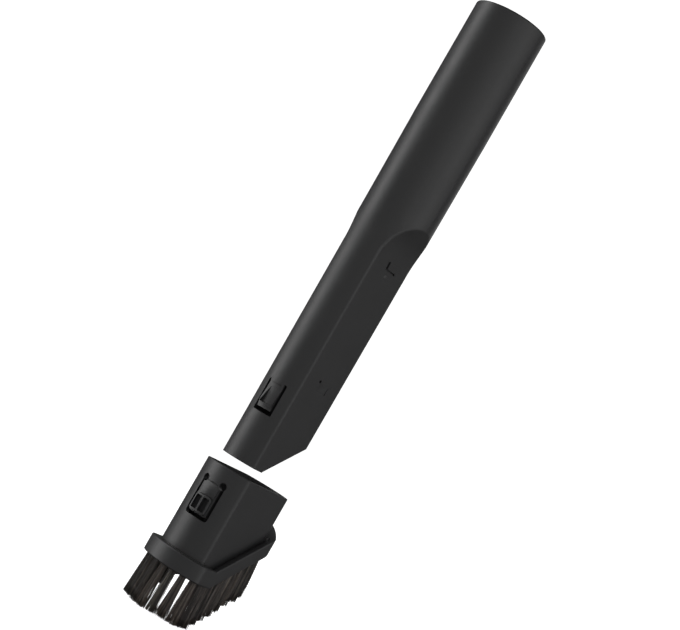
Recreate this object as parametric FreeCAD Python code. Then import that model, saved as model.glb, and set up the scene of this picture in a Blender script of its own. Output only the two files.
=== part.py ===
import FreeCAD, Part
import math
import os

# Two-in-one crevice nozzle with a slide-on dusting brush, for a 32 mm vacuum wand.
#
# Millimetres.  +Z runs along the tube towards the vacuum, and the origin is the centre of
# the wand socket's mouth.  The catches face -Y (the front) and the flats face +X and -X.
# At rest the brush is off the nozzle, a short way below its tip.

V = FreeCAD.Vector
ACROSS = V(1, 0, 0)

# ---- nozzle tube ----
SOCKET_RADIUS = 16.0         # the wand's outside radius
SOCKET_DEPTH = 40.0
SOCKET_LEAD_IN = 0.3
STOP_RING_RADIUS = 14.6      # the wand's end rests on this ring
STOP_RING_HEIGHT = 1.6
MOUTH_RADIUS = 19.0          # outside, along the band at the mouth that a storage ring takes
BAND_LENGTH = 60.0
SCOOP_TOP = 111.0            # depth at which the scoops leave the round tube
TUBE_RADIUS = 18.6           # outside, at that depth
NOZZLE_LENGTH = 246.5
TIP_RADIUS = 18.0
WALL = 2.2
NOZZLE_HALF_TOP = 10.95      # centre to flat, where the flats begin
NOZZLE_HALF_TIP = 10.65
FLAT_TOP = 131.4             # depth at which the scoops become flat
SCOOP_RADIUS = 32.0
NOZZLE_CREASE = 1.6
RIM_ROUNDING = 0.8
TIP_CORNER_Y = -7.4          # the tip is level in front of this line and slants behind it
TIP_SLOPE = math.radians(41.5)
CHEEK_STEP = 0.3             # how far the flats sink at the tip, behind the strip along their front edge
CHEEK_TOP = 170.0

# ---- marks on the nozzle's flats ----
STOP_PAD_TOP = 130.7         # pad that marks how far the stowed brush goes up
STOP_PAD_END = 134.3
STOP_PAD_FRONT = -2.5
STOP_PAD_BACK = 5.6
STOP_PAD_PROUD = 0.55
STOP_PAD_GROOVE = 0.9        # width of the groove along the pad's front and lower edges
GROOVE_INTO_FLAT = 0.9
NIB_DEPTH = 138.0            # small rounded nib below the pad
NIB_RADIUS = 1.3
NIB_PROUD = 0.4
NOTCH_TOP = 196.0            # sloping notch that the brush clicks into; flush at its top
NOTCH_END = 200.9
NOTCH_FRONT = -3.0
NOTCH_BACK = 5.2
NOTCH_SINK = 0.8
PIN_MARK_DEPTH = 196.0
PIN_MARK_Y = -3.1
PIN_MARK_RADIUS = 0.8

# ---- nozzle catch ----
CATCH_TOP = 205.7
CATCH_PIVOT = 206.8
CATCH_END = 219.9
CATCH_WINDOW_END = 222.0
CATCH_HALF = 4.3
CATCH_WINDOW_RIGHT = 5.8
CATCH_WINDOW_LEFT = -5.4
CATCH_WINDOW_CORNER = 0.6
CATCH_RECESS = 0.35
CATCH_PIVOT_Y = -16.7
TOOTH_HALF = 4.1
TOOTH_TOP = 207.8            # the tooth's ramp starts here, flush with the tongue
TOOTH_CREST = 216.6
TOOTH_END = 218.3
TOOTH_PROUD = 1.1
TOOTH_HEEL = 0.3             # how far the tooth falls back from its crest to its end
TOOTH_ROOT = 1.2             # how far the tooth reaches into the tongue
POCKET_APEX_X = -2.0         # three-cornered pocket in the tooth's left part
POCKET_APEX = 209.2
POCKET_BASE = 217.6
POCKET_BASE_LEFT = -3.8
POCKET_BASE_RIGHT = 1.7
POCKET_APEX_HALF = 0.2
POCKET_IN_TOOTH = 1.6

# ---- brush ----
REST_GAP = 5.55              # nozzle tip to sleeve rim, brush off
RIM = NOZZLE_LENGTH + REST_GAP
SLEEVE_RADIUS = 22.2
SLEEVE_HALF = 14.25
SLEEVE_CREASE = 2.2
RIB_PROUD = 0.85
RIB_WIDTH = 1.4
RIB_Y = 8.6
RIB_END_GAP = 3.0
SLEEVE_EDGE = 0.4
CARRIER_TOP = RIM + 43.8
CARRIER_HEIGHT = 8.7
CARRIER_BOTTOM = CARRIER_TOP + CARRIER_HEIGHT
CARRIER_RADIUS = 26.85
CARRIER_HALF = 18.5
CARRIER_CREASE = 4.0
CARRIER_EDGE = 0.7
CARRIER_SLOPE = math.radians(40.5)
TOP_KINK_Y = -9.5
BOTTOM_KINK_Y = -8.7
SEAT_ABOVE_BOTTOM = 5.4      # the sleeve stands this far above the carrier's underside
SEAT_DEPTH = CARRIER_BOTTOM - SEAT_ABOVE_BOTTOM
GROOVE_WIDTH = 2.2
GROOVE_DEPTH = 2.0
GROOVE_FRONT_Y = -10.5
GROOVE_BACK_Y = 18.0

# ---- brush latch ----
LATCH_HOLES = RIM + 8.5
LATCH_HOLE_RADIUS = 1.85
LATCH_HOLE_X = 5.6
LATCH_PIVOT = RIM + 9.0
LATCH_END = RIM + 25.1
LATCH_WINDOW_END = RIM + 27.0
LATCH_HALF = 5.6
LATCH_WINDOW_HALF = 7.1
LATCH_WINDOW_CORNER = 1.5
LATCH_CORNER = 1.2
LATCH_PIVOT_Y = -20.75
PAD_START = LATCH_PIVOT + 0.6
PAD_END = RIM + 15.6
PAD_PROUD = 1.0
GRIP_TOP = PAD_END + 0.35
GRIP_END = RIM + 24.8
GRIP_HALF = 4.9
GRIP_PROUD = 1.3
GRIP_ROOT = 1.9              # how deep the grip's sides reach below the sleeve's front
GRIP_CORNER = 1.3
GRIP_EDGE = 0.4
POCKET_TOP = RIM + 16.9
POCKET_END = RIM + 23.7
POCKET_NEAR = 0.55
POCKET_FAR = 4.1
POCKET_DEPTH = 2.0
POCKET_CORNER = 0.5

# ---- flexure roots ----
KNUCKLE_RADIUS = 0.6
KNUCKLE_CLEARANCE = 0.05
ROOT_GAP = 0.25

# ---- bristles ----
TUFT_RADIUS = 1.55
TUFT_PATH_RADIUS = 22.9
TUFT_PATH_HALF = 15.9
TUFTS_PER_END = 7
TUFTS_PER_FLAT = 8
TUFT_END_STEP = math.radians(13.6)
TUFT_HOLE_DEPTH = 3.9
BRISTLE_LENGTH = 22.0
BRISTLE_KINK_Y = -9.0
STAPLE_LENGTH = 2.3
STAPLE_HEIGHT = 1.2
STAPLE_THICKNESS = 0.5

REACH = 60.0                 # larger than any cross-section
LONG = 400.0                 # longer than the whole object


def box(x0, x1, y0, y1, z0, z1):
    return Part.makeBox(x1 - x0, y1 - y0, z1 - z0, V(x0, y0, z0))


def frustum(radius_top, z_top, radius_bottom, z_bottom):
    if abs(radius_top - radius_bottom) < 1e-9:
        return Part.makeCylinder(radius_top, z_top - z_bottom, V(0, 0, z_bottom))
    return Part.makeCone(radius_bottom, radius_top, z_top - z_bottom, V(0, 0, z_bottom))


def across_prism(points, half_width):
    """Polygon of (y, z) points, extruded along X to both sides of the middle."""
    wire = Part.makePolygon([V(-half_width, y, z) for y, z in points + points[:1]])
    return Part.Face(wire).extrude(V(2 * half_width, 0, 0))


def mirrored(shape):
    return shape.mirror(V(0, 0, 0), ACROSS)


def both_sides(shape):
    return [shape, mirrored(shape)]


def flatted_round(radius, half, z_top, z_bottom):
    """Round bar with two flats, at x = +half and x = -half."""
    bar = Part.makeCylinder(radius, z_top - z_bottom, V(0, 0, z_bottom))
    return bar.common(box(-half, half, -REACH, REACH, z_bottom, z_top))


def crease_edges(shape, z_low, z_high):
    """The edges along Z where a round end meets a flat."""
    found = []
    for edge in shape.Edges:
        bounds = edge.BoundBox
        if bounds.ZLength > 0.6 * (z_high - z_low) and bounds.YLength < 3.0 and abs(bounds.Center.y) > 5.0:
            found.append(edge)
    return found


def edges_along_y(block):
    return [e for e in block.Edges if e.BoundBox.XLength < 0.01 and e.BoundBox.ZLength < 0.01]


# ---------------------------------------------------------------- nozzle
def side_cutter(inset):
    """What the +X flat and its scoop remove; inset moves the surface inwards."""
    x_top = NOZZLE_HALF_TOP - inset
    x_tip = NOZZLE_HALF_TIP - inset
    centre_x = NOZZLE_HALF_TOP + SCOOP_RADIUS
    radius = SCOOP_RADIUS + inset
    far_x = 2 * NOZZLE_HALF_TOP

    def on_scoop(x):
        return V(x, -REACH, -FLAT_TOP + math.sqrt(radius ** 2 - (centre_x - x) ** 2))

    start = V(x_top, -REACH, -FLAT_TOP)
    scoop = Part.Arc(start, on_scoop((x_top + far_x) / 2), on_scoop(far_x)).toShape()
    low = -NOZZLE_LENGTH - WALL
    rest = Part.makePolygon([on_scoop(far_x), V(REACH, -REACH, on_scoop(far_x).z), V(REACH, -REACH, low),
                             V(x_tip, -REACH, low), start])
    outline = Part.Wire([scoop] + rest.Edges)
    return Part.Face(outline).extrude(V(0, 2 * REACH, 0))


def nozzle_form(inset):
    """The nozzle's outside before the tip is cut, moved inwards by inset."""
    form = frustum(MOUTH_RADIUS - inset, 0, MOUTH_RADIUS - inset, -BAND_LENGTH)
    form = form.fuse(frustum(MOUTH_RADIUS - inset, -BAND_LENGTH, TUBE_RADIUS - inset, -SCOOP_TOP))
    form = form.fuse(frustum(TUBE_RADIUS - inset, -SCOOP_TOP, TIP_RADIUS - inset, -NOZZLE_LENGTH))
    return form.cut(both_sides(side_cutter(inset))).removeSplitter()


def tip_cutter():
    """Removes what lies under the slanted part of the tip."""
    low = -NOZZLE_LENGTH
    rise = (REACH - TIP_CORNER_Y) * math.tan(TIP_SLOPE)
    return across_prism([(TIP_CORNER_Y, low), (REACH, low + rise), (REACH, low - WALL),
                         (TIP_CORNER_Y, low - WALL)], REACH)


def stop_pad(x):
    """Low pad on the +X flat: proud at its lower front corner and flush at its upper back corner."""
    inner = x - WALL / 2
    corners = [(STOP_PAD_FRONT, -STOP_PAD_END), (STOP_PAD_BACK, -STOP_PAD_END),
               (STOP_PAD_BACK, -STOP_PAD_TOP), (STOP_PAD_FRONT, -STOP_PAD_TOP)]
    shares = (1.0, 0.7, 0.0, 0.5)
    base = [V(inner, y, z) for y, z in corners]
    top = [V(x + share * STOP_PAD_PROUD, y, z) for share, (y, z) in zip(shares, corners)]
    return hexahedron(base, top)


def hexahedron(base, top):
    """Closed solid between two rings of four points, with its quads split in two triangles."""
    faces = []

    def triangle(a, b, c):
        faces.append(Part.Face(Part.makePolygon([a, b, c, a])))

    for ring in (base, top):
        triangle(ring[0], ring[1], ring[2])
        triangle(ring[0], ring[2], ring[3])
    for i in range(4):
        j = (i + 1) % 4
        triangle(base[i], base[j], top[j])
        triangle(base[i], top[j], top[i])
    solid = Part.Solid(Part.Shell(faces))
    if solid.Volume < 0:
        solid.reverse()
    return solid


def stop_pad_grooves(x):
    """The groove along the pad's front and lower edges."""
    floor = x - GROOVE_INTO_FLAT
    front_y = STOP_PAD_FRONT - STOP_PAD_GROOVE
    lower_z = -STOP_PAD_END - STOP_PAD_GROOVE
    front = box(floor, x + WALL, front_y, STOP_PAD_FRONT, lower_z, -STOP_PAD_TOP)
    lower = box(floor, x + WALL, front_y, STOP_PAD_BACK, lower_z, -STOP_PAD_END)
    return front.fuse(lower)


def nib(x):
    """Small rounded nib on the +X flat."""
    ball_radius = (NIB_RADIUS ** 2 + NIB_PROUD ** 2) / (2 * NIB_PROUD)
    ball = Part.makeSphere(ball_radius, V(x + NIB_PROUD - ball_radius, 0, -NIB_DEPTH))
    return ball.common(box(x - WALL / 2, x + WALL, -REACH, REACH, -LONG, 0))


def notch(x):
    """What sinks the notch in the +X flat: deepest at its lower front corner, flush at its top."""
    corners = [(NOTCH_FRONT, -NOTCH_END), (NOTCH_BACK, -NOTCH_END),
               (NOTCH_BACK, -NOTCH_TOP), (NOTCH_FRONT, -NOTCH_TOP)]
    shares = (1.0, 0.5, 0.0, 0.0)
    floor = [V(x - share * NOTCH_SINK, y, z) for share, (y, z) in zip(shares, corners)]
    return hexahedron(floor, [V(x + WALL, y, z) for y, z in corners])


def pin_mark(x):
    return Part.makeCylinder(PIN_MARK_RADIUS, 2 * WALL, V(x - WALL / 2, PIN_MARK_Y, -PIN_MARK_DEPTH), ACROSS)


def cheek_cutter():
    """Sinks the +X flat behind its front strip, from nothing at the top to CHEEK_STEP at the tip."""
    low = -NOZZLE_LENGTH - WALL
    section = Part.makePolygon([V(flat_x(CHEEK_TOP), TIP_CORNER_Y, -CHEEK_TOP),
                                V(NOZZLE_HALF_TIP - CHEEK_STEP, TIP_CORNER_Y, low),
                                V(REACH, TIP_CORNER_Y, low), V(REACH, TIP_CORNER_Y, -CHEEK_TOP),
                                V(flat_x(CHEEK_TOP), TIP_CORNER_Y, -CHEEK_TOP)])
    return Part.Face(section).extrude(V(0, REACH, 0))


def knuckle(pivot_y, pivot_depth, half, clearance):
    return Part.makeCylinder(KNUCKLE_RADIUS + clearance, 2 * half, V(-half, pivot_y, -pivot_depth), ACROSS)


def catch_window():
    """The opening round the nozzle's catch: two slots joined at the bottom."""
    window = box(CATCH_WINDOW_LEFT, CATCH_WINDOW_RIGHT, -REACH, 0, -CATCH_WINDOW_END, -CATCH_TOP)
    window = window.makeFillet(CATCH_WINDOW_CORNER, edges_along_y(window))
    root = box(-CATCH_HALF, CATCH_HALF, -REACH, 0, -CATCH_PIVOT + ROOT_GAP / 2, -CATCH_TOP)
    return window.cut(root)


def duct_and_socket():
    """The bore for the wand, and the suction duct from its stop ring to the open tip."""
    duct = nozzle_form(WALL).common(box(-REACH, REACH, -REACH, REACH, -LONG, -SOCKET_DEPTH))
    ring = frustum(REACH / 2, -SOCKET_DEPTH, REACH / 2, -SOCKET_DEPTH - STOP_RING_HEIGHT)
    ring = ring.cut(frustum(STOP_RING_RADIUS, -SOCKET_DEPTH + 1, STOP_RING_RADIUS, -SOCKET_DEPTH - WALL))
    socket = frustum(SOCKET_RADIUS, 1, SOCKET_RADIUS, -SOCKET_DEPTH)
    lead_in = frustum(SOCKET_RADIUS + SOCKET_LEAD_IN, 0, SOCKET_RADIUS, -SOCKET_LEAD_IN)
    return [duct.cut(ring), socket, lead_in]


def make_nozzle_tube():
    tube = nozzle_form(0)
    tube = tube.makeFillet(NOZZLE_CREASE, crease_edges(tube, -NOZZLE_LENGTH, -FLAT_TOP))
    tube = tube.cut(both_sides(cheek_cutter()))
    tube = tube.cut(tip_cutter())
    mouth_edge = [e for e in tube.Edges if e.BoundBox.ZMin > -0.01]
    tube = tube.makeFillet(RIM_ROUNDING, mouth_edge)
    tube = tube.cut(duct_and_socket())

    tube = tube.cut(both_sides(stop_pad_grooves(NOZZLE_HALF_TOP)))
    tube = tube.fuse(both_sides(stop_pad(NOZZLE_HALF_TOP)) + both_sides(nib(flat_x(NIB_DEPTH))))
    sunk_x = cheek_x(NOTCH_TOP)
    tube = tube.cut(both_sides(notch(sunk_x)) + both_sides(pin_mark(sunk_x)))
    tube = tube.cut([catch_window(), knuckle(CATCH_PIVOT_Y, CATCH_PIVOT, CATCH_HALF, KNUCKLE_CLEARANCE)])
    return tube.removeSplitter()


def flat_x(depth):
    """Distance from the middle to the flat at a depth below the mouth."""
    share = (depth - FLAT_TOP) / (NOZZLE_LENGTH + WALL - FLAT_TOP)
    return NOZZLE_HALF_TOP + share * (NOZZLE_HALF_TIP - NOZZLE_HALF_TOP)


def cheek_x(depth):
    """Distance from the middle to the sunk part of the flat at a depth below the mouth."""
    share = (depth - CHEEK_TOP) / (NOZZLE_LENGTH + WALL - CHEEK_TOP)
    return flat_x(depth) - share * CHEEK_STEP


def catch_tooth():
    """The ramped tooth across the catch, round like the tube."""
    flush = TIP_RADIUS - CATCH_RECESS
    crest = flush + TOOTH_PROUD
    ramp = frustum(flush, -TOOTH_TOP, crest, -TOOTH_CREST)
    heel = frustum(crest, -TOOTH_CREST, crest - TOOTH_HEEL, -TOOTH_END)
    return ramp.fuse(heel).common(box(-TOOTH_HALF, TOOTH_HALF, -REACH, -flush + TOOTH_ROOT, -LONG, 0))


def tooth_pocket():
    """The three-cornered pocket in the tooth's left part."""
    outside = -TIP_RADIUS - 2 * TOOTH_PROUD
    shallow = -TIP_RADIUS + CATCH_RECESS
    deep = shallow - TOOTH_PROUD + POCKET_IN_TOOTH
    outline = [(POCKET_APEX_X - POCKET_APEX_HALF, -POCKET_APEX, shallow),
               (POCKET_APEX_X + POCKET_APEX_HALF, -POCKET_APEX, shallow),
               (POCKET_BASE_RIGHT, -POCKET_BASE, deep), (POCKET_BASE_LEFT, -POCKET_BASE, deep)]
    return hexahedron([V(x, outside, z) for x, z, y in outline], [V(x, y, z) for x, z, y in outline])


def make_nozzle_catch():
    front = box(-CATCH_HALF, CATCH_HALF, -REACH, 0, -CATCH_END, -CATCH_PIVOT - ROOT_GAP / 2)
    tongue = nozzle_form(CATCH_RECESS).cut(nozzle_form(WALL)).common(front)
    tongue = tongue.fuse(catch_tooth()).cut(tooth_pocket())
    return tongue.fuse(knuckle(CATCH_PIVOT_Y, CATCH_PIVOT, CATCH_HALF, 0)).removeSplitter()


# ---------------------------------------------------------------- brush
def bent_slab_line(depth, kink_y):
    """The (y, z) line that is level in front of kink_y and climbs to the back."""
    rise = (REACH - kink_y) * math.tan(CARRIER_SLOPE)
    return [(-REACH, -depth), (kink_y, -depth), (REACH, -depth + rise)]


def above_line(depth, kink_y):
    """Everything above a bent line."""
    return across_prism(bent_slab_line(depth, kink_y) + [(REACH, 0), (-REACH, 0)], REACH)


def latch_holes():
    """The round tops of the slots beside the latch's root."""
    return [Part.makeCylinder(LATCH_HOLE_RADIUS, REACH, V(x, -REACH, -LATCH_HOLES), V(0, 1, 0))
            for x in (LATCH_HOLE_X, -LATCH_HOLE_X)]


def latch_window():
    """The opening round the thumb latch: two slots with round tops, joined at the bottom."""
    window = box(-LATCH_WINDOW_HALF, LATCH_WINDOW_HALF, -REACH, 0, -LATCH_WINDOW_END, -LATCH_HOLES)
    low_edges = [e for e in edges_along_y(window) if e.BoundBox.ZMin < -LATCH_WINDOW_END + 1]
    window = window.makeFillet(LATCH_WINDOW_CORNER, low_edges)
    root = box(-LATCH_HALF, LATCH_HALF, -REACH, 0, -LATCH_PIVOT + ROOT_GAP / 2, 0)
    return window.cut(root).fuse(latch_holes())


def guide_ribs(z_top, z_bottom):
    """Ribs inside the sleeve that run along the nozzle's flats."""
    ribs = []
    inner = SLEEVE_HALF - WALL
    for y in (-RIB_Y, RIB_Y):
        rib = box(inner - RIB_PROUD, inner + WALL / 2, y - RIB_WIDTH / 2, y + RIB_WIDTH / 2, z_bottom, z_top)
        ribs += both_sides(rib)
    return ribs


def make_brush_sleeve():
    low = -CARRIER_BOTTOM
    sleeve = flatted_round(SLEEVE_RADIUS, SLEEVE_HALF, -RIM, low)
    sleeve = sleeve.makeFillet(SLEEVE_CREASE, crease_edges(sleeve, low, -RIM))
    rim_edges = [e for e in sleeve.Edges if e.BoundBox.ZMin > -RIM - 0.01]
    sleeve = sleeve.makeFillet(SLEEVE_EDGE, rim_edges)
    sleeve = sleeve.cut(flatted_round(SLEEVE_RADIUS - WALL, SLEEVE_HALF - WALL, -RIM + 1, low - 1))
    sleeve = sleeve.fuse(guide_ribs(-RIM - RIB_END_GAP, low)).removeSplitter()
    sleeve = sleeve.common(above_line(SEAT_DEPTH, BOTTOM_KINK_Y))
    sleeve = sleeve.cut([latch_window(), knuckle(LATCH_PIVOT_Y, LATCH_PIVOT, LATCH_HALF, KNUCKLE_CLEARANCE)])
    return sleeve.removeSplitter()


def make_brush_latch():
    z_top = -LATCH_PIVOT - ROOT_GAP / 2
    shell = flatted_round(SLEEVE_RADIUS, SLEEVE_HALF, z_top, -LATCH_END)
    shell = shell.cut(flatted_round(SLEEVE_RADIUS - WALL, SLEEVE_HALF, z_top + 1, -LATCH_END - 1))
    tongue = shell.common(box(-LATCH_HALF, LATCH_HALF, -REACH, 0, -LATCH_END, z_top))
    low_corners = [e for e in tongue.Edges
                   if e.BoundBox.ZMax < -LATCH_END + 0.1 and abs(e.BoundBox.Center.x) > LATCH_HALF - 0.1]
    tongue = tongue.makeFillet(LATCH_CORNER, low_corners)
    root = knuckle(LATCH_PIVOT_Y, LATCH_PIVOT, LATCH_HALF, 0)
    tongue = tongue.fuse([pad_block(), grip_block(), root])
    return tongue.cut(latch_holes() + both_sides(grip_pocket())).removeSplitter()


def pad_block():
    """The smooth swelling of the latch between its root and its grip."""
    shares = ((0.0, 0.02), (0.33, 0.7), (0.67, 1.0), (1.0, 0.75))
    length = PAD_END - PAD_START
    sections = [swelling_section(PAD_START + along * length, out * PAD_PROUD) for along, out in shares]
    return Part.makeLoft(sections, True, False)


def swelling_section(depth, out):
    """Closed outline, level at a depth, of an arc over the sleeve's front that stands out by out."""
    half = GRIP_HALF
    edge_y = -math.sqrt(SLEEVE_RADIUS ** 2 - half ** 2)
    left = V(-half, edge_y - 0.6 * out, -depth)
    right = V(half, edge_y - 0.6 * out, -depth)
    crown = V(0, -SLEEVE_RADIUS - out, -depth)
    back_left = V(-half, edge_y + 0.8, -depth)
    back_right = V(half, edge_y + 0.8, -depth)
    arc = Part.Arc(left, crown, right).toShape()
    rest = Part.makePolygon([right, back_right, back_left, left])
    return Part.Wire([arc] + rest.Edges)


def grip_block():
    """The raised grip that a thumb presses, with rounded edges."""
    bar = Part.makeCylinder(SLEEVE_RADIUS + GRIP_PROUD, GRIP_END - GRIP_TOP, V(0, 0, -GRIP_END))
    block = bar.common(box(-GRIP_HALF, GRIP_HALF, -REACH, -SLEEVE_RADIUS + GRIP_ROOT, -LONG, 0))
    block = block.makeFillet(GRIP_CORNER, edges_along_y(block))
    outer = []
    for edge in block.Edges:
        bounds = edge.BoundBox
        if bounds.Center.y < -SLEEVE_RADIUS + 0.2 and bounds.YMin < -SLEEVE_RADIUS - 0.4:
            outer.append(edge)
    return block.makeFillet(GRIP_EDGE, outer)


def grip_pocket():
    """The pocket in the +X half of the grip, which is open to the front."""
    floor = -SLEEVE_RADIUS - GRIP_PROUD + POCKET_DEPTH
    pocket = box(POCKET_NEAR, POCKET_FAR, -REACH, floor, -POCKET_END, -POCKET_TOP)
    return pocket.makeFillet(POCKET_CORNER, edges_along_y(pocket))


def make_bristle_carrier(tuft_places):
    low = -CARRIER_BOTTOM - 1
    high = -CARRIER_TOP + REACH
    ring = flatted_round(CARRIER_RADIUS, CARRIER_HALF, high, low)
    ring = ring.makeFillet(CARRIER_CREASE, crease_edges(ring, low, high))
    ring = ring.common(above_line(CARRIER_BOTTOM, BOTTOM_KINK_Y))
    ring = ring.cut(above_line(CARRIER_TOP, TOP_KINK_Y))
    outer = [e for e in ring.Edges if is_level_edge(e)]
    ring = ring.makeFillet(CARRIER_EDGE, outer)
    seat = flatted_round(SLEEVE_RADIUS, SLEEVE_HALF, high, low)
    seat = seat.makeFillet(SLEEVE_CREASE, crease_edges(seat, low, high))
    seat = seat.common(above_line(SEAT_DEPTH, BOTTOM_KINK_Y))
    channel = flatted_round(SLEEVE_RADIUS - WALL, SLEEVE_HALF - WALL, high, low)
    ring = ring.cut([seat, channel])
    ring = ring.cut(both_sides(carrier_groove()))
    holes = [tuft_bar(x, y, TUFT_RADIUS, bottom_z(y) + TUFT_HOLE_DEPTH, bottom_z(y) - 2 * TUFT_RADIUS)
             for x, y in tuft_places]
    return ring.cut(holes).removeSplitter()


def is_level_edge(edge):
    """True for the edges round the top and the bottom of the carrier's outside."""
    bounds = edge.BoundBox
    return bounds.DiagonalLength > 1.0 and not (bounds.XLength > 30 and bounds.YLength < 0.1) and \
        not (bounds.XLength < 1.5 and bounds.YLength < 1.5)


def carrier_groove():
    """The dark groove between the +X flat of the sleeve and the carrier's lip, round at both ends."""
    x0 = SLEEVE_HALF
    x1 = SLEEVE_HALF + GROOVE_WIDTH
    radius = GROOVE_WIDTH / 2
    slot = box(x0, x1, GROOVE_FRONT_Y, GROOVE_BACK_Y, -LONG, 0)
    slot = slot.makeFillet(radius * 0.98, [e for e in slot.Edges if e.BoundBox.ZLength > REACH])
    return slot.common(above_line(CARRIER_TOP + GROOVE_DEPTH, TOP_KINK_Y))


# ---------------------------------------------------------------- bristles
def bottom_z(y):
    """Height of the carrier's underside at y."""
    return -CARRIER_BOTTOM + max(0.0, y - BOTTOM_KINK_Y) * math.tan(CARRIER_SLOPE)


def tip_z(y):
    """Height of the bristle tips at y."""
    return -CARRIER_BOTTOM - BRISTLE_LENGTH + max(0.0, y - BRISTLE_KINK_Y) * math.tan(CARRIER_SLOPE)


def tuft_bar(x, y, radius, z_top, z_bottom):
    return Part.makeCylinder(radius, z_top - z_bottom, V(x, y, z_bottom))


def tuft_positions():
    """One row round the carrier, from the front, by the +X flat, the back and the -X flat."""
    half_turn = (TUFTS_PER_END - 1) / 2
    front = []
    for i in range(TUFTS_PER_END):
        angle = (i - half_turn) * TUFT_END_STEP
        front.append((TUFT_PATH_RADIUS * math.sin(angle), -TUFT_PATH_RADIUS * math.cos(angle)))
    last_y = front[-1][1]
    step = -2 * last_y / (TUFTS_PER_FLAT + 1)
    right = [(TUFT_PATH_HALF, last_y + step * (i + 1)) for i in range(TUFTS_PER_FLAT)]
    back = [(-x, -y) for x, y in front]
    left = [(-x, -y) for x, y in right]
    return front + right + back + left


def make_tuft(x, y):
    bar = tuft_bar(x, y, TUFT_RADIUS, bottom_z(y) + TUFT_HOLE_DEPTH, tip_z(y) - 2 * TUFT_RADIUS)
    bar = bar.common(above_line(CARRIER_BOTTOM + BRISTLE_LENGTH, BRISTLE_KINK_Y))
    return bar.cut(make_staple(x, y))


def make_staple(x, y):
    z = bottom_z(y) + TUFT_HOLE_DEPTH - STAPLE_HEIGHT
    half_x = STAPLE_LENGTH / 2
    half_y = STAPLE_THICKNESS / 2
    return box(x - half_x, x + half_x, y - half_y, y + half_y, z, z + STAPLE_HEIGHT)


# ---------------------------------------------------------------- output
def write(name, shape):
    shape.exportStep(os.path.join("parts", name + ".step"))
    print(name, "valid", shape.isValid(), "solids", len(shape.Solids), "volume", round(shape.Volume, 1))


def main():
    os.makedirs("parts", exist_ok=True)
    places = tuft_positions()
    write("nozzle_tube", make_nozzle_tube())
    write("nozzle_catch", make_nozzle_catch())
    write("brush_sleeve", make_brush_sleeve())
    write("brush_latch", make_brush_latch())
    write("bristle_carrier", make_bristle_carrier(places))
    for i, (x, y) in enumerate(places, start=1):
        write("tuft_%02d" % i, make_tuft(x, y))
    write("tuft_anchors", Part.makeCompound([make_staple(x, y) for x, y in places]))


main()
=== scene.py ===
"""Looks of the crevice nozzle and its dusting brush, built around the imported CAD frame."""

import math
import random

import bpy
from mathutils import Matrix, Vector


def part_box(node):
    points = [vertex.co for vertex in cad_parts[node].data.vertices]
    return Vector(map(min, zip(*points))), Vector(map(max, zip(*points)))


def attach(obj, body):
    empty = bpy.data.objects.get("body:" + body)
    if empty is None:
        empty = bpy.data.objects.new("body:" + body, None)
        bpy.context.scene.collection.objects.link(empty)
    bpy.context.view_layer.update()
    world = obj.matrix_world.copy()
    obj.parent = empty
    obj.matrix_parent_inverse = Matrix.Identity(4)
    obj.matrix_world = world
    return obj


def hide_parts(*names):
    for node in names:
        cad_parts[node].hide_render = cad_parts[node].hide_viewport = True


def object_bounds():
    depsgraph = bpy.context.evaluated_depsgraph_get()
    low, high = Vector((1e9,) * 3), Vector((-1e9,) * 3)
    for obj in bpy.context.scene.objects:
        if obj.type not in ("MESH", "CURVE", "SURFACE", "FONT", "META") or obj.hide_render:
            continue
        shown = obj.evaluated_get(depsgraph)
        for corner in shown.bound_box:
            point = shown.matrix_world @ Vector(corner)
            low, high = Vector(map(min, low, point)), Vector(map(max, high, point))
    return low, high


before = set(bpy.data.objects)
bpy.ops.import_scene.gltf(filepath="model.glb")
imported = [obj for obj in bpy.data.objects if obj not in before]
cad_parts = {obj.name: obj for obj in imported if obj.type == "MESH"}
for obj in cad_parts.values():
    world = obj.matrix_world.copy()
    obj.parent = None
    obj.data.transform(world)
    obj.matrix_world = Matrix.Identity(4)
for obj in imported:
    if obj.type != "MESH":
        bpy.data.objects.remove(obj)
cad_low, cad_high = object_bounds()

MM = 0.001

# Bristles
FILAMENTS = 96                  # in one tuft
FILAMENT_RADIUS = 0.14 * MM
FILAMENT_SIDES = 5
FILAMENT_STEPS = 5
ROOT_ALONG = 1.50 * MM          # half width of the tuft along the ring, where it leaves its hole
ROOT_OUT = 1.05 * MM            # half width of the tuft across the ring, there
TIP_ALONG = 2.85 * MM
TIP_OUT = 1.50 * MM
TIP_LEAN = 0.75 * MM            # how far a tuft leans outwards
STRAY = 0.28 * MM               # scatter of the tips sideways
UNEVEN_LENGTH = 0.55 * MM       # scatter of the filaments' lengths
TUFT_LONGER = 0.3 * MM          # how much longer than the common length a whole tuft can be
TUFT_SHORTER = 0.6 * MM         # how much shorter
TAPER = 0.25                    # share of its thickness that a filament loses towards its tip
STRIPES = 5                     # clumps of one shade, side by side in a tuft
TUFT_SHADE = 0.30               # share of a filament's shade that its tuft gives
STRIPE_SHADE = 0.8              # share that its clump gives
STRIPE_CONTRAST = 2.4           # above 1, most clumps are dark and a few are light
SHADE_SCATTER = 0.12
TUFT_WARMTH = 0.6               # share of a filament's warmth that its tuft gives
WARMTH_SCATTER = 0.2
CUT_SLANT = 0.20                # how far one tuft's tips follow the slant; 0 is cut level
FLAT_TUFT_X = 15.5 * MM         # tufts further out than this stand along the flats
BRISTLE_KINK_Y = -9.0 * MM      # the tips are level in front of this line and slant behind it
BRISTLE_SLOPE = math.radians(40.5)

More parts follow.
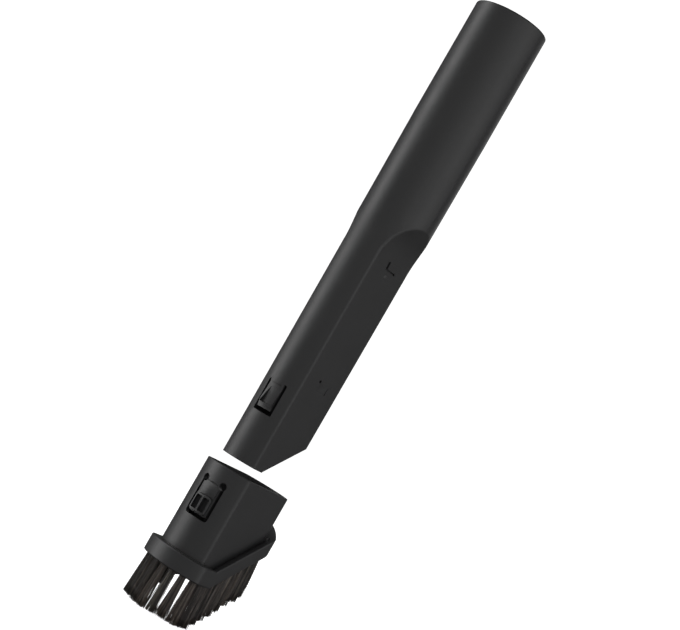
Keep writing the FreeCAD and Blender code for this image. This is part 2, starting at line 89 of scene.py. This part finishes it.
# Colours
NOZZLE_BLACK = (0.0175, 0.0175, 0.018)
BRUSH_BLACK = (0.017, 0.017, 0.0175)
COOL_DARK = (0.005, 0.005, 0.005)
COOL_LIGHT = (0.165, 0.152, 0.122)
WARM_DARK = (0.007, 0.005, 0.005)
WARM_LIGHT = (0.185, 0.132, 0.115)
STREAK_DARK = (0.012, 0.010, 0.009)
STEEL_DARK = (0.42, 0.42, 0.43)
STEEL_LIGHT = (0.62, 0.62, 0.61)
PLASTIC_ROUGHNESS = 0.46
GRAIN_STRENGTH = 0.25

# Camera, in metres in the frame of the tool: it stands low in front, to the right, and is rolled
VIEW_AZIMUTH = math.radians(36.2)
CAMERA_DISTANCE = 0.82
CAMERA_HEIGHT = -0.20816
AIM_HEIGHT = -0.16375
AIM_SIDE = -0.00093
ROLL = math.radians(29.94)
LENS = 91.46                    # millimetres
SENSOR_WIDTH = 36.0             # millimetres

# Lights: name, azimuth and elevation in degrees, width and height in metres, power in watts
SOFTBOXES = [
    ("key_left", -59, 8, 0.46, 1.5, 8.0),
    ("front", 5, 8, 0.60, 1.5, 1.3),
    ("front_right", 40, 8, 0.60, 1.5, 1.7),
    ("right", 70, 8, 0.50, 1.5, 2.1),
    ("far_right", 100, 8, 0.40, 1.5, 2.6),
    ("back_right", 125, 8, 0.40, 1.5, 1.4),
    ("overhead", -106, 52, 0.80, 0.8, 1.0),
    ("back", 190, 8, 0.60, 1.5, 1.6),
]
SOFTBOX_DISTANCE = 1.0
WORLD_STRENGTH = 0.09

# Stage
FLOOR_GAP = 0.5 * MM            # from the lowest point of the tool to the floor
FLOOR_RADIUS = 3.0
WALL_HEIGHT = 5.0
COVE_RADIUS = 1.2
STAGE_RINGS = 12
STAGE_SIDES = 96


# ---------------------------------------------------------------- materials
class Nodes:
    """A short way to write a node tree."""

    def __init__(self, name):
        self.material = bpy.data.materials.new(name)
        self.material.use_nodes = True
        self.tree = self.material.node_tree
        self.tree.nodes.clear()

    def add(self, kind, **settings):
        node = self.tree.nodes.new(kind)
        for key, value in settings.items():
            if hasattr(node, key):
                setattr(node, key, value)
            else:
                node.inputs[key.replace("_", " ")].default_value = value
        return node

    def link(self, source, target):
        self.tree.links.new(source, target)

    def principled(self, **settings):
        shader = self.add("ShaderNodeBsdfPrincipled")
        for key, value in settings.items():
            shader.inputs[key.replace("_", " ")].default_value = value
        output = self.add("ShaderNodeOutputMaterial")
        self.link(shader.outputs["BSDF"], output.inputs["Surface"])
        return shader

    def noise(self, scale, detail=2.0, roughness=0.5, vector=None):
        node = self.add("ShaderNodeTexNoise")
        node.inputs["Scale"].default_value = scale
        node.inputs["Detail"].default_value = detail
        node.inputs["Roughness"].default_value = roughness
        if vector is not None:
            self.link(vector, node.inputs["Vector"])
        return node.outputs["Fac"]

    def ranged(self, value, low, high, to_low, to_high):
        node = self.add("ShaderNodeMapRange")
        node.inputs["From Min"].default_value = low
        node.inputs["From Max"].default_value = high
        node.inputs["To Min"].default_value = to_low
        node.inputs["To Max"].default_value = to_high
        self.link(value, node.inputs["Value"])
        return node.outputs["Result"]

    def mixed(self, factor, a, b):
        """Colour a where factor is 0 and b where it is 1; each is a socket or a colour."""
        node = self.add("ShaderNodeMix", data_type="RGBA")
        self.link(factor, node.inputs["Factor"])
        for socket, colour in ((node.inputs[6], a), (node.inputs[7], b)):
            if isinstance(colour, tuple):
                socket.default_value = (*colour, 1.0)
            else:
                self.link(colour, socket)
        return node.outputs[2]

    def maths(self, operation, a, b):
        node = self.add("ShaderNodeMath", operation=operation)
        for socket, value in ((node.inputs[0], a), (node.inputs[1], b)):
            if isinstance(value, (int, float)):
                socket.default_value = value
            else:
                self.link(value, socket)
        return node.outputs[0]

    def edge_wear_and_highlight(self, radius):
        """0 on a smooth surface, up to 1 on a sharp edge."""
        bevel = self.add("ShaderNodeBevel", samples=6)
        bevel.inputs["Radius"].default_value = radius
        plain = self.add("ShaderNodeNewGeometry")
        dot = self.add("ShaderNodeVectorMath", operation="DOT_PRODUCT")
        self.link(bevel.outputs["Normal"], dot.inputs[0])
        self.link(plain.outputs["Normal"], dot.inputs[1])
        return self.ranged(dot.outputs["Value"], 0.99, 0.80, 0.0, 1.0)


def moulded_plastic(name, base, roughness, grain):
    """Black moulded plastic with a fine spark-eroded grain, faint flow marks, and rubbed edges that are also
    lighter as a painted highlight of their small roundings.
    """
    n = Nodes(name)
    shader = n.principled(IOR=1.49)
    place = n.add("ShaderNodeTexCoord").outputs["Object"]
    blotches = n.noise(70.0, detail=3.0, vector=place)
    grain_fine = n.noise(2600.0, detail=1.5, roughness=0.6, vector=place)
    grain_coarse = n.noise(900.0, detail=2.0, vector=place)
    edge = n.edge_wear_and_highlight(0.45 * MM)
    rubbing_and_highlight_patches = n.ranged(n.noise(260.0, detail=3.0, vector=place), 0.35, 0.65, 0.25, 1.0)
    rubbed_and_highlit_edges = n.maths("MULTIPLY", edge, rubbing_and_highlight_patches)
    dark = tuple(c * 0.85 for c in base)
    light = tuple(c * 1.15 for c in base)
    body = n.mixed(blotches, dark, light)
    # Lighter, glossier edges: partly rubbing wear, partly a painted highlight that stands in for the light
    # small edge roundings would catch.
    rubbed_and_highlit_colour = tuple(min(1.0, c * 2.4) for c in base)
    n.link(n.mixed(n.maths("MULTIPLY", rubbed_and_highlit_edges, 0.5), body, rubbed_and_highlit_colour), shader.inputs["Base Color"])
    uneven = n.ranged(blotches, 0.3, 0.7, roughness - 0.03, roughness + 0.03)
    sparkle = n.maths("MULTIPLY", n.maths("SUBTRACT", grain_fine, 0.5), 0.10)
    rough = n.maths("SUBTRACT", n.maths("ADD", uneven, sparkle), n.maths("MULTIPLY", rubbed_and_highlit_edges, 0.06))
    n.link(rough, shader.inputs["Roughness"])
    height = n.maths("ADD", grain_fine, n.maths("MULTIPLY", grain_coarse, 0.6))
    bump = n.add("ShaderNodeBump")
    bump.inputs["Strength"].default_value = grain
    bump.inputs["Distance"].default_value = 0.03 * MM
    n.link(height, bump.inputs["Height"])
    n.link(bump.outputs["Normal"], shader.inputs["Normal"])
    return n.material


def bristle_nylon():
    """Dark filaments that differ from brown-black to olive-brown, each a little glossy."""
    n = Nodes("bristle_nylon")
    shader = n.principled(Roughness=0.42, IOR=1.5)
    place = n.add("ShaderNodeTexCoord").outputs["Object"]
    shade = n.add("ShaderNodeAttribute", attribute_name="shade").outputs["Fac"]
    warmth = n.add("ShaderNodeAttribute", attribute_name="warmth").outputs["Fac"]
    streaks = n.noise(500.0, detail=2.0, vector=place)
    cool = n.mixed(shade, COOL_DARK, COOL_LIGHT)
    warm = n.mixed(shade, WARM_DARK, WARM_LIGHT)
    tone = n.mixed(warmth, cool, warm)
    dim = n.ranged(streaks, 0.3, 0.7, 0.0, 0.35)
    n.link(n.mixed(dim, tone, STREAK_DARK), shader.inputs["Base Color"])
    bump = n.add("ShaderNodeBump")
    bump.inputs["Strength"].default_value = 0.2
    bump.inputs["Distance"].default_value = 0.02 * MM
    n.link(streaks, bump.inputs["Height"])
    n.link(bump.outputs["Normal"], shader.inputs["Normal"])
    return n.material


def drawn_steel():
    """Bright wire of the staples that hold the tufts."""
    n = Nodes("drawn_steel")
    shader = n.principled(Metallic=1.0)
    place = n.add("ShaderNodeTexCoord").outputs["Object"]
    drawn = n.noise(1400.0, detail=2.0, vector=place)
    n.link(n.mixed(drawn, STEEL_DARK, STEEL_LIGHT), shader.inputs["Base Color"])
    n.link(n.ranged(drawn, 0.3, 0.7, 0.25, 0.40), shader.inputs["Roughness"])
    return n.material


def dress(node, material):
    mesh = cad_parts[node].data
    mesh.materials.clear()
    mesh.materials.append(material)


# ---------------------------------------------------------------- bristles
def tip_height(level, y):
    """Height of the bristle tips at y; level is their height in front of the kink."""
    return level + max(0.0, y - BRISTLE_KINK_Y) * math.tan(BRISTLE_SLOPE)


def filament(verts, faces, root, tip, bow, radius):
    """One bent filament from root to tip as a thin tapered tube with flat ends; gives its number of points."""
    first = len(verts)
    along = (tip - root).normalized()
    side = along.cross(Vector((0, 1, 0))).normalized()
    other = along.cross(side)
    for step in range(FILAMENT_STEPS + 1):
        t = step / FILAMENT_STEPS
        centre = root.lerp(tip, t) + bow * math.sin(math.pi * t) * t
        size = radius * (1.0 - TAPER * t)
        for k in range(FILAMENT_SIDES):
            turn = 2 * math.pi * k / FILAMENT_SIDES
            verts.append(centre + side * (size * math.cos(turn)) + other * (size * math.sin(turn)))
    for step in range(FILAMENT_STEPS):
        for k in range(FILAMENT_SIDES):
            a = first + step * FILAMENT_SIDES + k
            b = first + step * FILAMENT_SIDES + (k + 1) % FILAMENT_SIDES
            faces.append((a, b, b + FILAMENT_SIDES, a + FILAMENT_SIDES))
    last = first + FILAMENT_STEPS * FILAMENT_SIDES
    faces.append(tuple(last + k for k in range(FILAMENT_SIDES)))
    faces.append(tuple(first + k for k in reversed(range(FILAMENT_SIDES))))
    return (FILAMENT_STEPS + 1) * FILAMENT_SIDES


def ring_outward(centre):
    """The direction out of the ring of tufts: square to its flats and radial at its ends."""
    if abs(centre.x) > FLAT_TUFT_X:
        return Vector((math.copysign(1.0, centre.x), 0, 0))
    return Vector((centre.x, centre.y, 0)).normalized()


def make_tuft(node, level, material):
    """A bundle of filaments that stands for one CAD tuft."""
    low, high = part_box(node)
    centre = (low + high) / 2
    outward = ring_outward(centre)
    along_ring = Vector((-outward.y, outward.x, 0))
    draw = random.Random(node)
    tuft_shade = draw.random()
    tuft_warmth = draw.random()
    stripes = [draw.random() for _ in range(STRIPES)]
    tuft_short = draw.uniform(-TUFT_LONGER, TUFT_SHORTER)
    lean = outward * TIP_LEAN * draw.uniform(0.5, 1.5)
    verts, faces, shades, warmths = [], [], [], []
    for i in range(FILAMENTS):
        reach = math.sqrt((i + 0.5) / FILAMENTS)
        turn = i * math.pi * (3.0 - math.sqrt(5.0)) + draw.uniform(-0.3, 0.3)
        part_out = outward * (math.cos(turn) * reach)
        part_along = along_ring * (math.sin(turn) * reach)
        root = Vector((centre.x, centre.y, high.z)) + part_out * ROOT_OUT + part_along * ROOT_ALONG
        foot = Vector((centre.x, centre.y, 0)) + part_out * TIP_OUT + part_along * TIP_ALONG + lean
        foot += Vector((draw.gauss(0, STRAY), draw.gauss(0, STRAY), 0))
        cut_y = centre.y + (foot.y - centre.y) * CUT_SLANT
        foot.z = tip_height(level, cut_y) + tuft_short + abs(draw.gauss(0, UNEVEN_LENGTH))
        bow = outward * draw.gauss(0.1, 0.25) * MM
        bow += Vector((draw.gauss(0, 0.2), draw.gauss(0, 0.2), 0)) * MM
        count = filament(verts, faces, root, foot, bow, FILAMENT_RADIUS * draw.uniform(0.85, 1.15))
        stripe = stripes[min(STRIPES - 1, int((math.sin(turn) * reach + 1) / 2 * STRIPES))]
        shade = TUFT_SHADE * tuft_shade + STRIPE_SHADE * stripe ** STRIPE_CONTRAST
        shade = min(1.0, max(0.0, shade + draw.gauss(0.0, SHADE_SCATTER)))
        warmth = min(1.0, max(0.0, TUFT_WARMTH * tuft_warmth + draw.gauss(0.2, WARMTH_SCATTER)))
        shades += [shade] * count
        warmths += [warmth] * count
    mesh = bpy.data.meshes.new("bristles_" + node)
    mesh.from_pydata(verts, [], faces)
    for name, values in (("shade", shades), ("warmth", warmths)):
        mesh.attributes.new(name, "FLOAT", "POINT").data.foreach_set("value", values)
    mesh.shade_smooth()
    mesh.materials.append(material)
    piece = bpy.data.objects.new("bristles_" + node, mesh)
    bpy.context.scene.collection.objects.link(piece)
    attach(piece, "brush")
    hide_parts(node)


# ---------------------------------------------------------------- stage, light and camera
def white_surface():
    n = Nodes("white_surface")
    shader = n.principled(Base_Color=(0.9, 0.9, 0.9, 1.0), Roughness=0.8, Emission_Color=(1, 1, 1, 1),
                          Emission_Strength=1.0)
    fine = n.noise(40.0, detail=2.0, vector=n.add("ShaderNodeTexCoord").outputs["Object"])
    n.link(n.ranged(fine, 0.3, 0.7, 0.75, 0.85), shader.inputs["Roughness"])
    return n.material


def make_stage(floor_height):
    """A seamless white floor that turns up into a round wall."""
    profile = [(0.0, 0.0), (FLOOR_RADIUS - COVE_RADIUS, 0.0)]
    for i in range(1, STAGE_RINGS + 1):
        turn = math.pi / 2 * i / STAGE_RINGS
        profile.append((FLOOR_RADIUS - COVE_RADIUS + COVE_RADIUS * math.sin(turn),
                        COVE_RADIUS * (1 - math.cos(turn))))
    profile.append((FLOOR_RADIUS, WALL_HEIGHT))
    verts = [(0, 0, floor_height)]
    faces = []
    for radius, height in profile[1:]:
        for k in range(STAGE_SIDES):
            turn = 2 * math.pi * k / STAGE_SIDES
            verts.append((radius * math.cos(turn), radius * math.sin(turn), floor_height + height))
    for k in range(STAGE_SIDES):
        faces.append((0, 1 + k, 1 + (k + 1) % STAGE_SIDES))
    for ring in range(len(profile) - 2):
        for k in range(STAGE_SIDES):
            a = 1 + ring * STAGE_SIDES + k
            b = 1 + ring * STAGE_SIDES + (k + 1) % STAGE_SIDES
            faces.append((a, a + STAGE_SIDES, b + STAGE_SIDES, b))
    mesh = bpy.data.meshes.new("white_floor")
    mesh.from_pydata(verts, [], faces)
    mesh.shade_smooth()
    mesh.materials.append(white_surface())
    floor = bpy.data.objects.new("white_floor", mesh)
    bpy.context.scene.collection.objects.link(floor)
    floor.visible_diffuse = False
    floor.visible_glossy = False
    floor.visible_shadow = False


def heading(azimuth):
    """Unit vector from the tool towards an azimuth, 0 being -Y and 90 degrees +X."""
    return Vector((math.sin(azimuth), -math.cos(azimuth), 0))


def softbox(name, azimuth, elevation, width, height, power, centre):
    """A soft light that faces the tool."""
    data = bpy.data.lights.new(name, "AREA")
    data.shape = "RECTANGLE"
    data.size = width
    data.size_y = height
    data.energy = power
    light = bpy.data.objects.new(name, data)
    bpy.context.scene.collection.objects.link(light)
    back = heading(math.radians(azimuth)) * math.cos(math.radians(elevation))
    back.z = math.sin(math.radians(elevation))
    light.location = centre + back * SOFTBOX_DISTANCE
    light.rotation_mode = "QUATERNION"
    light.rotation_quaternion = (-back).to_track_quat("-Z", "Y")
    light.visible_camera = False


def make_lights(centre):
    for softbox_values in SOFTBOXES:
        softbox(*softbox_values, centre)
    world = bpy.data.worlds.new("studio")
    world.use_nodes = True
    background = world.node_tree.nodes["Background"]
    background.inputs["Color"].default_value = (1, 1, 1, 1)
    background.inputs["Strength"].default_value = WORLD_STRENGTH
    bpy.context.scene.world = world


def make_camera():
    towards = heading(VIEW_AZIMUTH)
    across = Vector((0, 0, 1)).cross(towards)
    aim = across * AIM_SIDE + Vector((0, 0, AIM_HEIGHT))
    place = across * AIM_SIDE + towards * CAMERA_DISTANCE + Vector((0, 0, CAMERA_HEIGHT))
    back = (place - aim).normalized()
    level_right = Vector((0, 0, 1)).cross(back).normalized()
    level_up = back.cross(level_right)
    right = level_right * math.cos(ROLL) + level_up * math.sin(ROLL)
    up = level_up * math.cos(ROLL) - level_right * math.sin(ROLL)
    data = bpy.data.cameras.new("camera")
    data.lens = LENS
    data.sensor_width = SENSOR_WIDTH
    camera = bpy.data.objects.new("camera", data)
    bpy.context.scene.collection.objects.link(camera)
    camera.rotation_mode = "QUATERNION"
    camera.rotation_quaternion = Matrix((right, up, back)).transposed().to_quaternion()
    camera.location = place
    bpy.context.scene.camera = camera


# ---------------------------------------------------------------- scene
nozzle_plastic = moulded_plastic("nozzle_plastic_grain", NOZZLE_BLACK, PLASTIC_ROUGHNESS, GRAIN_STRENGTH)
brush_plastic = moulded_plastic("brush_plastic_grain", BRUSH_BLACK, PLASTIC_ROUGHNESS, GRAIN_STRENGTH)
nylon = bristle_nylon()
dress("nozzle_tube", nozzle_plastic)
dress("nozzle_catch", nozzle_plastic)
dress("brush_sleeve", brush_plastic)
dress("brush_latch", brush_plastic)
dress("bristle_carrier", brush_plastic)
dress("tuft_anchors", drawn_steel())

tuft_nodes = sorted(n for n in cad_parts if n.startswith("tuft_") and n != "tuft_anchors")
tip_level = min(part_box(n)[0].z for n in tuft_nodes)
for tuft_node in tuft_nodes:
    make_tuft(tuft_node, tip_level, nylon)

middle = (cad_low + cad_high) / 2
make_stage(cad_low.z - FLOOR_GAP)
make_lights(Vector((0, 0, middle.z)))
make_camera()
bpy.context.scene.view_settings.view_transform = "Standard"
bpy.context.scene.view_settings.look = "None"
